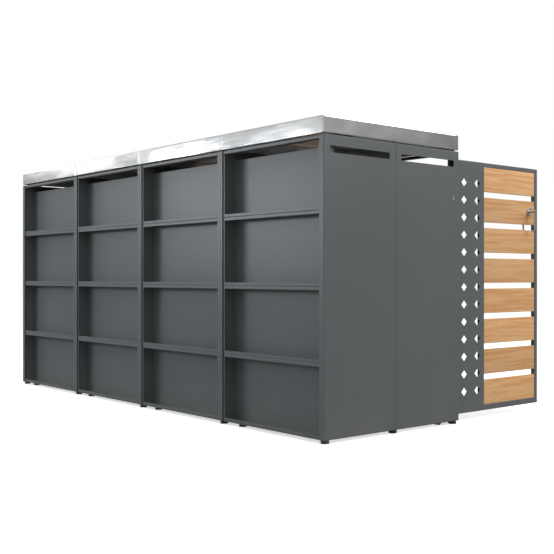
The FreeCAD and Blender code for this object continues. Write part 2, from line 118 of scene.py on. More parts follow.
# %% Helpers for node trees
def add(tree, kind, values=None, **settings):
    """New node with its settings; each input takes a value, or a link from another node."""
    made = tree.nodes.new(kind)
    for key, value in settings.items():
        setattr(made, key, value)
    for key, value in (values or {}).items():
        if isinstance(value, bpy.types.NodeSocket):
            wire(tree, value, made.inputs[key])
        else:
            made.inputs[key].default_value = value
    return made


def wire(tree, source, target):
    tree.links.new(source, target)


def math_node(tree, operation, a, b):
    """Math on sockets or plain numbers; returns the result's socket."""
    return add(tree, "ShaderNodeMath", {0: a, 1: b}, operation=operation).outputs[0]


def remap(tree, value, low, high, to_low=0.0, to_high=1.0):
    """Map a value from one range to another, held at both ends."""
    return add(tree, "ShaderNodeMapRange", {"Value": value, "From Min": low, "From Max": high,
                                            "To Min": to_low, "To Max": to_high}).outputs["Result"]


def blend_colours(tree, factor, a, b, mode="MIX"):
    """Mix two colours; each is a socket or an RGBA value."""
    return add(tree, "ShaderNodeMix", {0: factor, 6: a, 7: b},
               data_type="RGBA", blend_type=mode).outputs[2]


def noise(tree, vector, scale, detail=2.0, roughness=0.5, stretch=None):
    """Noise value on a vector, stretched per axis if asked."""
    if stretch is not None:
        vector = add(tree, "ShaderNodeMapping", {"Vector": vector, "Scale": stretch}).outputs[0]
    return add(tree, "ShaderNodeTexNoise", {"Vector": vector, "Scale": scale, "Detail": detail,
                                            "Roughness": roughness}).outputs["Fac"]


# %% World
SKY_STRENGTH = 0.62
CALM_WAY = Vector((-0.34, -0.94, 0.10))    # the dark side of the room, mirrored by the end fascia

world = bpy.data.worlds.new("studio")
world.use_nodes = True
sky = world.node_tree
sky.nodes.clear()
way = add(sky, "ShaderNodeTexCoord").outputs["Generated"]
towards = add(sky, "ShaderNodeVectorMath", {0: way, 1: CALM_WAY.normalized()},
              operation="DOT_PRODUCT").outputs["Value"]
calm = remap(sky, towards, 0.80, 0.97, 0.85, 0.38)
drift = remap(sky, noise(sky, way, 3.2, detail=3.0, stretch=(1, 1, 2.2)), 0.35, 0.65, 0.75, 1.15)
level = math_node(sky, "MULTIPLY", calm, drift)
tint = blend_colours(sky, level, (0, 0, 0, 1), (0.97, 0.985, 1.0, 1))
glow = add(sky, "ShaderNodeBackground", {"Color": tint, "Strength": SKY_STRENGTH}).outputs[0]
plain = add(sky, "ShaderNodeBackground", {"Color": (1, 1, 1, 1), "Strength": 1.0}).outputs[0]
eye_ray = add(sky, "ShaderNodeLightPath").outputs["Is Camera Ray"]
choice = add(sky, "ShaderNodeMixShader", {0: eye_ray, 1: glow, 2: plain}).outputs[0]
add(sky, "ShaderNodeOutputWorld", {"Surface": choice})
bpy.context.scene.world = world
print("world", world.name)


# %% Lamps
def lamp(name, place, target, width, height, glow_level, colour=(1, 1, 1)):
    """Rectangular soft panel; its power follows from its size and how bright it should look."""
    data = bpy.data.lights.new(name, "AREA")
    data.shape = "RECTANGLE"
    data.size = width
    data.size_y = height
    data.color = colour
    data.energy = glow_level * math.pi * width * height
    made = bpy.data.objects.new(name, data)
    made.location = place
    made.rotation_euler = (Vector(target) - Vector(place)).to_track_quat("-Z", "Y").to_euler()
    bpy.context.scene.collection.objects.link(made)


lamp("rear_panel_light", (2.67, 3.46, 1.42), (-0.53, 0.68, 1.15), 1.7, 0.60, 12.0, (0.93, 0.96, 1.0))
lamp("far_panel_light", (5.0, 2.2, 2.6), (0.8, 0.42, 1.1), 1.6, 1.6, 1.6)
lamp("overhead_light", (-0.6, 0.8, 5.0), (-0.3, 0.2, 0), 5.0, 4.0, 1.3)
lamp("end_fill_light", (-5.2, -3.6, 4.3), (-1.4, -0.5, 0.6), 3.6, 2.4, 7.2, (1.0, 0.985, 0.96))

# %% Floor
FLOOR_REACH = 30.0
FLOOR_LIFT = 0.62        # shows the floor as white as paper, and throws no light on the walls

bpy.ops.mesh.primitive_grid_add(x_subdivisions=2, y_subdivisions=2, size=2 * FLOOR_REACH)
floor = bpy.context.object
floor.name = "floor"
floor.location.z = -0.0005
floor_paint = bpy.data.materials.new("floor_paint")
floor_paint.use_nodes = True
floor_tree = floor_paint.node_tree
floor_shader = floor_tree.nodes["Principled BSDF"]
seen = add(floor_tree, "ShaderNodeLightPath").outputs["Is Camera Ray"]
floor_colour = blend_colours(floor_tree, seen, (0.30, 0.30, 0.31, 1), (0.90, 0.90, 0.90, 1))
wire(floor_tree, floor_colour, floor_shader.inputs["Base Color"])
for label, value in (("Roughness", 0.9), ("Specular IOR Level", 0.1), ("Emission Color", (1, 1, 1, 1))):
    floor_shader.inputs[label].default_value = value
lift = math_node(floor_tree, "MULTIPLY", seen, FLOOR_LIFT)
wire(floor_tree, lift, floor_shader.inputs["Emission Strength"])
floor.data.materials.append(floor_paint)
print("floor", floor.dimensions[:2])

# %% [markdown]
# ## Effects that several finishes share
#
# Real finishes differ in colour, but they age and are made in the same few ways. So the effects
# are built once as node groups: thin coating on sharp edges, a film of dust near the ground, the
# lines of a rolling or brushing machine, and slow drift of tone over a wide sheet. A group could
# hold the whole finish, but then each material would be a copy with no character of its own.


# %% Group helper
def shader_group(name, inputs, outputs):
    """Empty shader group with its named sockets, and its two end nodes."""
    tree = bpy.data.node_groups.new(name, "ShaderNodeTree")
    for label, kind, value in inputs:
        socket = tree.interface.new_socket(name=label, in_out="INPUT", socket_type=kind)
        if value is not None:
            socket.default_value = value
    for label, kind in outputs:
        tree.interface.new_socket(name=label, in_out="OUTPUT", socket_type=kind)
    return tree, tree.nodes.new("NodeGroupInput").outputs, tree.nodes.new("NodeGroupOutput").inputs


FLOAT = "NodeSocketFloat"
VECTOR = "NodeSocketVector"

# %% Edge wear: where the coat is thin or rubbed
edge_wear, given, result = shader_group(
    "edge_wear",
    [("Vector", VECTOR, None), ("Radius", FLOAT, 0.0015), ("Patchiness", FLOAT, 60.0)],
    [("Mask", FLOAT)])
rounded = add(edge_wear, "ShaderNodeBevel", {"Radius": given["Radius"]}, samples=4).outputs["Normal"]
true_normal = add(edge_wear, "ShaderNodeNewGeometry").outputs["Normal"]
facing = add(edge_wear, "ShaderNodeVectorMath", {0: rounded, 1: true_normal},
             operation="DOT_PRODUCT").outputs["Value"]
turned_away = remap(edge_wear, facing, 0.995, 0.80)
rubbed = remap(edge_wear, noise(edge_wear, given["Vector"], given["Patchiness"], detail=3.0), 0.40, 0.62)
wire(edge_wear, math_node(edge_wear, "MULTIPLY", turned_away, rubbed), result["Mask"])
print("group edge_wear")

# %% Ground dust: a thin film that fades with height
ground_dust, given, result = shader_group(
    "ground_dust",
    [("Vector", VECTOR, None), ("Reach", FLOAT, 0.25), ("Amount", FLOAT, 0.3)],
    [("Mask", FLOAT)])
height = add(ground_dust, "ShaderNodeSeparateXYZ", {0: given["Vector"]}).outputs["Z"]
share = math_node(ground_dust, "DIVIDE", height, given["Reach"])
fade = remap(ground_dust, share, 0.0, 1.0, 1.0, 0.0)
cloudy = remap(ground_dust, noise(ground_dust, given["Vector"], 9.0, detail=6.0), 0.3, 0.75)
film = math_node(ground_dust, "MULTIPLY", math_node(ground_dust, "POWER", fade, 2.0), cloudy)
wire(ground_dust, math_node(ground_dust, "MULTIPLY", film, given["Amount"]), result["Mask"])
print("group ground_dust")

# %% Tool lines: fine parallel scratches along one direction
tool_lines, given, result = shader_group(
    "tool_lines",
    [("Vector", VECTOR, None), ("Stretch", VECTOR, (4.0, 700.0, 700.0)), ("Depth", FLOAT, 0.2),
     ("Distance", FLOAT, 0.0001)],
    [("Value", FLOAT), ("Normal", VECTOR)])
along = add(tool_lines, "ShaderNodeVectorMath", {0: given["Vector"], 1: given["Stretch"]},
            operation="MULTIPLY").outputs[0]
lines = noise(tool_lines, along, 1.0, detail=3.0, roughness=0.6)
cut = add(tool_lines, "ShaderNodeBump", {"Height": lines, "Strength": given["Depth"],
                                         "Distance": given["Distance"]})
wire(tool_lines, lines, result["Value"])
wire(tool_lines, cut.outputs["Normal"], result["Normal"])
print("group tool_lines")

# %% Tone drift: slow, faint change of tone over a wide sheet
tone_drift, given, result = shader_group(
    "tone_drift",
    [("Vector", VECTOR, None), ("Size", FLOAT, 1.6), ("Amount", FLOAT, 0.06)],
    [("Value", FLOAT)])
slow = noise(tone_drift, given["Vector"], given["Size"], detail=2.0, roughness=0.45)
centred = remap(tone_drift, slow, 0.3, 0.7, -1.0, 1.0)
swing = math_node(tone_drift, "MULTIPLY", centred, given["Amount"])
wire(tone_drift, math_node(tone_drift, "ADD", swing, 1.0), result["Value"])
print("group tone_drift")


# %% Helpers for materials
def material(name):
    """New material; returns it with its tree, its shader and object coordinates."""
    made = bpy.data.materials.new(name)
    made.use_nodes = True
    tree = made.node_tree
    return made, tree, tree.nodes["Principled BSDF"], add(tree, "ShaderNodeTexCoord").outputs["Object"]


def placed_group(tree, group, vector, **values):
    """A shared group in a material, with this material's own values."""
    made = add(tree, "ShaderNodeGroup", node_tree=group)
    wire(tree, vector, made.inputs["Vector"])
    for key, value in values.items():
        made.inputs[key].default_value = value
    return made.outputs


def bump(tree, height, strength, distance, normal=None):
    """Relief from a height value, laid over an earlier relief if there is one."""
    values = {"Strength": strength, "Distance": distance, "Height": height}
    if normal is not None:
        values["Normal"] = normal
    return add(tree, "ShaderNodeBump", values).outputs["Normal"]


def scaled(tree, colour, value):
    """A colour times a value that changes over the surface."""
    return blend_colours(tree, 1.0, colour, value, mode="MULTIPLY")


def feed(tree, shader, colour, roughness, normal):
    """Wire the three changing parts of a finish into its shader."""
    for label, source in (("Base Color", colour), ("Roughness", roughness), ("Normal", normal)):
        wire(tree, source, shader.inputs[label])


# %% [markdown]
# ## Powder coat
#
# Every folded part is coated with an anthracite powder that is baked on. Close up it has a fine
# skin like orange peel, a satin shine, and a slightly paler, smoother line where the powder pulls
# thin over a sharp edge. Two noise scales make the skin: 1 mm grain and 6 mm flow. The edge line
# comes from the edge group, and a trace of dust lies low on the walls.

# %% Anthracite powder coat
COAT_GREY = (0.136, 0.148, 0.150, 1)
COAT_THIN = (0.19, 0.20, 0.20, 1)
DUST = (0.42, 0.40, 0.37, 1)

anthracite, tree, shader, here = material("anthracite_powder")
tone = placed_group(tree, tone_drift, here, Size=1.7, Amount=0.05)["Value"]
edges = placed_group(tree, edge_wear, here, Radius=0.0012, Patchiness=45.0)["Mask"]
dust = placed_group(tree, ground_dust, here, Reach=0.30, Amount=0.16)["Mask"]
grain = noise(tree, here, 1100.0, detail=2.0)
flow = noise(tree, here, 170.0, detail=1.0)
coat = scaled(tree, COAT_GREY, tone)
coat = blend_colours(tree, remap(tree, grain, 0.62, 0.78, 0.0, 0.25), coat, (0.15, 0.16, 0.16, 1))
coat = blend_colours(tree, math_node(tree, "MULTIPLY", edges, 0.45), coat, COAT_THIN)
coat = blend_colours(tree, dust, coat, DUST)
satin_map = remap(tree, flow, 0.3, 0.7, 0.36, 0.44)
satin_map = math_node(tree, "ADD", satin_map, math_node(tree, "MULTIPLY", dust, 0.8))
skin = bump(tree, flow, 0.20, 0.00020, bump(tree, grain, 0.25, 0.00006))
feed(tree, shader, coat, satin_map, skin)
print("material", anthracite.name)

# %% [markdown]
# ## Polished stainless steel
#
# The lids are bent from stainless sheet that was ground and then polished. It mirrors the room
# almost sharply, stretched along the grind, and a wide sheet is never flat: it is a little
# quilted, which makes reflections wander. A clean mirror would look like glass, so the material
# has three scales: grinding lines, a slow buckle of the sheet, and faint wiping marks in the shine.

# %% Stainless
STEEL = (0.80, 0.80, 0.795, 1)

stainless, tree, shader, here = material("polished_stainless")
lines = placed_group(tree, tool_lines, here, Stretch=(5.0, 420.0, 900.0), Depth=0.10,
                     Distance=0.00008)
buckle = noise(tree, here, 1.0, detail=1.5, stretch=(2.6, 2.6, 7.0))
tone = placed_group(tree, tone_drift, here, Size=5.0, Amount=0.03)["Value"]
wipes = noise(tree, here, 6.0, detail=5.0, roughness=0.65, stretch=(0.5, 1.6, 3.0))
shader.inputs["Metallic"].default_value = 1.0
shine = remap(tree, wipes, 0.35, 0.7, 0.11, 0.20)
shine = math_node(tree, "ADD", shine, remap(tree, lines["Value"], 0.3, 0.7, -0.02, 0.03))
feed(tree, shader, scaled(tree, STEEL, tone), shine, bump(tree, buckle, 0.35, 0.010, lines["Normal"]))
print("material", stainless.name)

# %% [markdown]
# ## Satin and plated steel
#
# The levers and roses are satin stainless, rubbed in one direction by an abrasive belt. Hinge
# pins, screws, latches and strike plates are zinc plated: cooler, cloudier and duller. Both use
# the same line group as the lids, with shorter and coarser lines.

# %% Satin lever steel and zinc plate
satin, tree, shader, here = material("satin_lever_steel")
lines = placed_group(tree, tool_lines, here, Stretch=(900.0, 900.0, 40.0), Depth=0.3,
                     Distance=0.00005)
edges = placed_group(tree, edge_wear, here, Radius=0.0008, Patchiness=120.0)["Mask"]
base = blend_colours(tree, remap(tree, lines["Value"], 0.3, 0.7), (0.54, 0.52, 0.50, 1),
                     (0.66, 0.64, 0.61, 1))
base = blend_colours(tree, math_node(tree, "MULTIPLY", edges, 0.5), base, (0.80, 0.79, 0.77, 1))
shader.inputs["Metallic"].default_value = 1.0
feed(tree, shader, base, remap(tree, lines["Value"], 0.3, 0.7, 0.24, 0.36), lines["Normal"])

zinc, tree, shader, here = material("zinc_plate")
cloud = noise(tree, here, 160.0, detail=3.0)
lines = placed_group(tree, tool_lines, here, Stretch=(300.0, 300.0, 90.0), Depth=0.2,
                     Distance=0.00004)
dust = placed_group(tree, ground_dust, here, Reach=0.2, Amount=0.4)["Mask"]
base = blend_colours(tree, remap(tree, cloud, 0.35, 0.65), (0.50, 0.52, 0.54, 1),
                     (0.64, 0.65, 0.66, 1))
shader.inputs["Metallic"].default_value = 1.0
feed(tree, shader, blend_colours(tree, dust, base, DUST), remap(tree, cloud, 0.3, 0.7, 0.32, 0.5),
     lines["Normal"])
print("materials", satin.name, zinc.name)

# %% [markdown]
# ## Oiled boards
#
# The boards are a light reddish hardwood with straight grain along their length, finished with
# oil. Each board is cut from another place, so tone and figure change from board to board. The
# pattern follows two attributes that the board stack will store: the place within the board, and
# one random number per board. Three layers make the wood: broad figure, fine fibres, and pores
# that catch the light as short dark dashes.

# %% Timber
WOOD_LIGHT = (0.93, 0.57, 0.27, 1)
WOOD_MID = (0.80, 0.40, 0.155, 1)
WOOD_DARK = (0.50, 0.205, 0.070, 1)

timber, tree, shader, here = material("oiled_timber")
in_board = add(tree, "ShaderNodeAttribute", attribute_name="grain").outputs["Vector"]
board_value = add(tree, "ShaderNodeAttribute", attribute_name="board").outputs["Fac"]
spread = add(tree, "ShaderNodeVectorMath", {0: board_value, 1: (37.0, 5.0, 11.0)},
             operation="MULTIPLY").outputs[0]
wood_place = add(tree, "ShaderNodeVectorMath", {0: in_board, 1: spread}, operation="ADD").outputs[0]
bend = noise(tree, wood_place, 1.0, detail=1.0, stretch=(3.0, 3.0, 9.0))
bent = add(tree, "ShaderNodeVectorMath", {0: bend, 1: (0.0, 0.02, 0.03), 2: wood_place},
           operation="MULTIPLY_ADD").outputs[0]
figure = noise(tree, bent, 1.0, detail=4.0, roughness=0.6, stretch=(2.2, 58.0, 62.0))
fibres = noise(tree, bent, 1.0, detail=4.0, roughness=0.7, stretch=(9.0, 420.0, 420.0))
pores = noise(tree, bent, 1.0, detail=2.0, stretch=(60.0, 900.0, 900.0))
wood = blend_colours(tree, remap(tree, figure, 0.38, 0.56), WOOD_MID, WOOD_LIGHT)
wood = blend_colours(tree, remap(tree, figure, 0.58, 0.72, 0.0, 0.40), wood, WOOD_DARK)
wood = blend_colours(tree, remap(tree, fibres, 0.35, 0.70, 0.0, 0.30), wood, WOOD_DARK)
wood = blend_colours(tree, remap(tree, pores, 0.66, 0.80, 0.0, 0.5), wood, (0.20, 0.09, 0.035, 1))
wood = scaled(tree, wood, remap(tree, board_value, 0.0, 1.0, 0.90, 1.08))
raised = bump(tree, pores, 0.25, -0.00015, bump(tree, fibres, 0.35, 0.00025))
feed(tree, shader, wood, remap(tree, figure, 0.3, 0.7, 0.42, 0.56), raised)
print("material", timber.name)

# %% [markdown]
# ## Moulded feet and rubber studs
#
# The feet are injection moulded and the studs are cut from rubber cord. Both are nearly black.
# What tells them apart from plain black paint is the moulding grain, a grey bloom, and the dust
# that plastic near the ground always holds.


# %% Black plastic and rubber
def black_moulding(name, colour, bloom, low_rough, high_rough, grain_scale):
    """Dark moulded finish with a cloudy bloom, fine grain and dust."""
    made, tree, shader, here = material(name)
    cloud = noise(tree, here, 70.0, detail=4.0)
    fine = noise(tree, here, grain_scale, detail=1.0)
    dust = placed_group(tree, ground_dust, here, Reach=0.05, Amount=0.35)["Mask"]
    base = blend_colours(tree, remap(tree, cloud, 0.4, 0.7), colour, bloom)
    feed(tree, shader, blend_colours(tree, dust, base, DUST),
         remap(tree, cloud, 0.3, 0.7, low_rough, high_rough), bump(tree, fine, 0.3, 0.0001))
    return made


foot_plastic = black_moulding("foot_plastic", (0.016, 0.016, 0.017, 1), (0.035, 0.035, 0.036, 1),
                              0.45, 0.6, 900.0)
rubber = black_moulding("stud_rubber", (0.020, 0.020, 0.020, 1), (0.045, 0.044, 0.042, 1),
                        0.7, 0.85, 600.0)
finishes = {"anthracite": anthracite, "stainless": stainless, "timber": timber,
            "handle_steel": satin, "zinc_steel": zinc, "foot_plastic": foot_plastic,
            "rubber": rubber}
print("finishes", sorted(finishes))

# %% [markdown]
# ## Folded sheet
#
# A press brake bends sheet over a radius, and a laser or shear leaves a small burr-free edge. The
# CAD solids are drawn with sharp corners, so each one is copied, its loose triangles are merged
# into real faces, and then two kinds of edge are found. Where both faces are wide, the edge is a
# fold: it gets the bend radius outside, and a smaller one inside. Where a face is only as wide as
# the sheet, the edge is a cut rim: it gets a fine break. A bevel on every edge alike would either
# swallow the rims or leave the folds like knives.


# %% Take a drawn node apart into its solids
WELD = 0.01 * MM


def solids_of(node):
    """Closed solids of a CAD node, each merged and facing outwards.

    The solids are stored one after another, so each one ends where its skin closes.
    """
    mesh = frame["nodes"][node].data
    keys = {}
    key_of = [keys.setdefault(tuple(round(c / WELD) for c in vert.co), len(keys))
              for vert in mesh.vertices]
    found = []
    faces = []
    open_sides = set()
    for polygon in mesh.polygons:
        corners = [key_of[v] for v in polygon.vertices]
        faces.append(polygon)
        for side in zip(corners, corners[1:] + corners[:1]):
            if side[::-1] in open_sides:
                open_sides.discard(side[::-1])
            else:
                open_sides.add(side)
        if not open_sides:
            found.append(whole_solid(mesh, faces))
            faces = []
    return found


def whole_solid(mesh, faces):
    """bmesh of some faces, doubles merged and facing outwards."""
    solid = bmesh.new()
    made = {}
    for polygon in faces:
        for v in polygon.vertices:
            if v not in made:
                made[v] = solid.verts.new(mesh.vertices[v].co)
        solid.faces.new([made[v] for v in polygon.vertices])
    bmesh.ops.remove_doubles(solid, verts=solid.verts, dist=WELD)
    bmesh.ops.recalc_face_normals(solid, faces=solid.faces)
    return solid


# %% Decide how far each edge is rounded
TIGHTEST = 1.0 * MM      # folds tighter than this inside stay square
SHARP_FROM = math.radians(35)
SQUARE_WITHIN = 0.2      # radians that a fold may differ from a right angle
STRIP = 1.5              # width of the strips beside a bend, in bend radii
HAIR = 0.05 * MM


def leg_width(skin, edge):
    """How far the metal reaches away from an edge, along the narrower of its two faces.

    The ray runs just inside the metal, so a cut rim gives the thickness of the sheet.
    """
    first, second = (face.normal for face in edge.link_faces)
    start = (edge.verts[0].co + edge.verts[1].co) / 2 - (first + second) * HAIR
    way = -1 if edge.is_convex else 1
    reaches = [skin.ray_cast(start, normal * way)[3] for normal in (first, second)]
    return min(math.inf if reach is None else reach for reach in reaches)


def mark_folds(solid, narrowest):
    """Mark the square edges between two wide faces: 1 on a fold's outer side, 2 on its inner side."""
    skin = BVHTree.FromBMesh(solid)
    mark = solid.edges.layers.int.new("fold")
    for edge in solid.edges:
        square = abs(edge.calc_face_angle(0.0) - math.pi / 2) < SQUARE_WITHIN
        if square and leg_width(skin, edge) >= narrowest:
            edge[mark] = 1 if edge.is_convex else 2
    return mark


def join_flats(solid):
    """Join triangles that lie in one plane, but never across a seam."""
    bmesh.ops.dissolve_limit(solid, angle_limit=math.radians(0.5), use_dissolve_boundaries=False,
                             verts=solid.verts, edges=solid.edges, delimit={"SEAM"})


def score_along(solid, edges, reach):
    """Cut the solid by planes that run beside each edge, and mark the cuts as seams.

    Each bend then lies in plain strips, and no face with a hole in it touches a bend.
    """
    planes = {}
    for edge in edges:
        for face in edge.link_faces:
            other = next(f for f in edge.link_faces if f != face)
            way = -1 if edge.is_convex else 1
            place = edge.verts[0].co + other.normal * way * reach
            normal = other.normal.copy()
            if sum(normal) < 0:
                normal.negate()
            key = (*(round(v, 2) + 0.0 for v in normal), round(place.dot(normal), 4))
            planes[key] = (place, normal)
    for place, normal in planes.values():
        cut = bmesh.ops.bisect_plane(solid, geom=solid.verts[:] + solid.edges[:] + solid.faces[:],
                                     dist=HAIR / 10, plane_co=place, plane_no=normal)
        for piece in cut["geom_cut"]:
            if isinstance(piece, bmesh.types.BMEdge):
                piece.seam = True


def bend_folds(solid, outer, inner, narrowest):
    """Round every fold: the outer side first, then the inner side if it is wide enough."""
    mark = mark_folds(solid, narrowest)
    passes = [(1, outer)] + ([(2, inner)] if inner >= TIGHTEST else [])
    for side, radius in passes:
        score_along(solid, [edge for edge in solid.edges if edge[mark] == side], radius * STRIP)
    join_flats(solid)
    for side, radius in passes:
        chosen = [edge for edge in solid.edges if edge[mark] == side]
        if chosen:
            bmesh.ops.bevel(solid, geom=chosen, offset=radius, segments=4, profile=0.5,
                            affect="EDGES", clamp_overlap=False)
        for edge in solid.edges:
            if edge[mark] == side:
                edge[mark] = 0


def break_rims(solid, rim):
    """Take the edge off every outer rim; sharp edges that are left shade as sharp."""
    skin = BVHTree.FromBMesh(solid)
    rims = [edge for edge in solid.edges
            if edge.is_convex and edge.calc_face_angle(0.0) > SHARP_FROM
            and leg_width(skin, edge) > 4 * rim]
    if rims:
        bmesh.ops.bevel(solid, geom=rims, offset=rim, segments=2, profile=0.5, affect="EDGES",
                        clamp_overlap=False)
    for edge in solid.edges:
        edge.smooth = edge.calc_face_angle(0.0) < math.radians(50)


APART = 0.003 * MM       # how far an outline steps inwards, so that it nowhere touches itself
MOST_CORNERS = 6         # a face with more corners than this is cut up


def cut_flats(solid):
    """Cut many-cornered faces into sound triangles; plain filling fails on faces with holes."""
    for face in [face for face in solid.faces if len(face.verts) > MOST_CORNERS]:
        corners = face.verts[:]
        upright = face.normal.to_track_quat("Z", "Y").inverted()
        plan = [(upright @ vert.co).to_2d() for vert in corners]
        ways = [(plan[(k + 1) % len(plan)] - plan[k]).normalized() for k in range(len(plan))]
        outline = [plan[k] + (ways[k] + ways[k - 1]).orthogonal() * APART for k in range(len(plan))]
        filled = delaunay_2d_cdt(outline, [], [range(len(corners))], 1, APART / 100)
        triangles, origins = filled[2], filled[3]
        if not all(origins):
            continue
        tips = [tuple(origins[n][0] for n in triangle) for triangle in triangles]
        sides = {frozenset((t[k], t[k - 1])) for t in tips for k in range(3)}
        rim = {frozenset((k, (k + 1) % len(corners))) for k in range(len(corners))}
        area = sum(area_tri(*(corners[n].co for n in t)) for t in tips)
        whole = rim <= sides and abs(area - face.calc_area()) < 0.001 * face.calc_area()
        if whole and not any(solid.faces.get([corners[n] for n in t]) for t in tips):
            solid.faces.remove(face)
            for t in tips:
                solid.faces.new([corners[n] for n in t])
    left = [face for face in solid.faces if len(face.verts) > MOST_CORNERS]
    bmesh.ops.triangulate(solid, faces=left)


# %% Turn solids into a finished piece
def as_object(name, solids):
    """One object from several bmeshes, which are used up."""
    whole = bmesh.new()
    for solid in solids:
        held = bpy.data.meshes.new("held")
        solid.to_mesh(held)
        solid.free()
        whole.from_mesh(held)
        bpy.data.meshes.remove(held)
    mesh = bpy.data.meshes.new(name)
    whole.to_mesh(mesh)
    whole.free()
    for polygon in mesh.polygons:
        polygon.use_smooth = True
    made = bpy.data.objects.new(name, mesh)
    bpy.context.scene.collection.objects.link(made)
    return made


def rounded_piece(name, solids, finish, rim):
    """Break the rims, keep wide faces flat in shading, and give the piece its finish."""
    for solid in solids:
        join_flats(solid)
        break_rims(solid, rim)
        cut_flats(solid)
    carrier = as_object(name, solids)
    shading = carrier.modifiers.new("shading", "WEIGHTED_NORMAL")
    shading.weight = 100
    shading.keep_sharp = True
    graph = bpy.context.evaluated_depsgraph_get()
    plain_mesh = carrier.data
    carrier.data = bpy.data.meshes.new_from_object(carrier.evaluated_get(graph))
    carrier.modifiers.clear()
    bpy.data.meshes.remove(plain_mesh)
    carrier.data.name = name
    carrier.data.materials.clear()
    carrier.data.materials.append(finish)
    return carrier


def smooth_piece(name, solids, finish, sharp_from=40):
    """Piece whose curves shade smoothly and whose edges sharper than an angle stay crisp."""
    made = as_object(name, solids)
    made.data.set_sharp_from_angle(angle=math.radians(sharp_from))
    made.data.materials.append(finish)
    return made


def settle(piece, *nodes):
    """Let a piece ride with, and stand for, the CAD nodes that it shows."""
    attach(piece, body_of_node[nodes[0]])
    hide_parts(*nodes)
    return piece


# %% Bend every folded part
SHEET = 1.5 * MM
HEAVY = 2.0 * MM
RIM = 0.25 * MM
NARROWEST = 6 * MM       # anything narrower than this beside an edge is a cut rim, not a leg


def folded(node, sheet, radius, narrowest=NARROWEST):
    """Piece for one node: outer folds to the radius, inner folds to what the sheet leaves."""
    solids = solids_of(node)
    for solid in solids:
        bend_folds(solid, radius, radius - sheet, narrowest)
    piece = rounded_piece(f"{node}_folded", solids, finishes[slot_of_node[node]], RIM)
    return settle(piece, node)


HEAVY_BEND = 2.4 * MM
DOOR_BEND = 2.6 * MM
LIGHT_BEND = 1.8 * MM
walls = [name for name in frame["nodes"] if name.startswith("end_wall_") and "plug" not in name]
partitions = [name for name in frame["nodes"] if name.startswith("partition_")]
for node in walls:
    folded(node, HEAVY, HEAVY_BEND)
for node in partitions:
    folded(node, SHEET, LIGHT_BEND)
for bay in bays:
    folded(f"rear_panels_{bay}", SHEET, LIGHT_BEND)
    folded(f"door_{bay}_frame", HEAVY, DOOR_BEND)
    folded(f"front_frame_{bay}", HEAVY, HEAVY_BEND)
for node in ("rear_top_rails", "rear_base_rails"):
    folded(node, HEAVY, HEAVY_BEND)
print("folded", len(walls) + len(partitions) + 3 * len(bays) + 2)

# %% [markdown]
# ## Lids
#
# Each lid is one stainless sheet turned down on four sides, with its corners welded and ground
# round. Its radius is larger than the walls', and where two lids meet the two radii make a
# bright groove. The same folding cell makes them, with a wider bend.

# %% Lids
LID_RADIUS = 4.5 * MM
LIP = 14.5 * MM          # turned-in lips and hinge knuckles are narrower, and stay square
for bay in bays:
    folded(f"lid_{bay}", SHEET, LID_RADIUS, LIP)
print("lids", len(bays))

# %% [markdown]
# ## Small machined parts
#
# Hinge leaves, brackets, strike plates, lock cases, latches and pins are cut from bar or plate,
# and only need their edges broken. Join bolts and foot screws stay as they are drawn, because
# nearly all of each one is hidden in the folded sections.


# %% Break the edges of machined parts
def machined(node, rim):
    piece = rounded_piece(f"{node}_machined", solids_of(node), finishes[slot_of_node[node]], rim)
    return settle(piece, node)


SHARED_PARTS = ("door_hinge_posts", "door_hinge_pins", "lid_hinge_brackets", "lid_hinge_pins",
                "strike_plates", "end_wall_plugs")
for node in SHARED_PARTS:
    machined(node, 0.3 * MM)
for bay in bays:
    for part in ("hinge_leaves", "lock_case", "latch"):
        machined(f"door_{bay}_{part}", 0.4 * MM)
for node in ("join_bolts", "foot_screws"):
    for slot in frame["nodes"][node].material_slots:
        slot.material = zinc
print("machined", len(SHARED_PARTS) + 3 * len(bays))

# %% [markdown]
# ## Geometry Nodes for what repeats
#
# Boards, feet and screws repeat. A loop could copy meshes, but a node tree says the rule once: a
# line of points, one instance on each, a random value per instance with a fixed seed. The tree
# ends in Realize Instances and Set Material, and its result becomes a plain mesh, one per body.


# %% Tree helpers
def geometry_tree(name, inputs):
    """Empty geometry tree with its named inputs, and its two end nodes."""
    tree = bpy.data.node_groups.new(name, "GeometryNodeTree")
    tree.interface.new_socket(name="Geometry", in_out="INPUT", socket_type="NodeSocketGeometry")
    for label, kind, value in inputs:
        socket = tree.interface.new_socket(name=label, in_out="INPUT", socket_type=kind)
        if value is not None:
            socket.default_value = value
    tree.interface.new_socket(name="Geometry", in_out="OUTPUT", socket_type="NodeSocketGeometry")
    tree.is_modifier = True
    return tree, tree.nodes.new("NodeGroupInput").outputs, tree.nodes.new("NodeGroupOutput").inputs


def close_tree(tree, geometry, given, result):
    """Turn instances into real geometry, give it the finish and end the tree."""
    real = add(tree, "GeometryNodeRealizeInstances", {0: geometry}).outputs[0]
    finished = add(tree, "GeometryNodeSetMaterial", {"Geometry": real, "Material": given["Finish"]})
    wire(tree, finished.outputs[0], result["Geometry"])


def part_geometry(tree, part):
    return add(tree, "GeometryNodeObjectInfo", {"Object": part}).outputs["Geometry"]


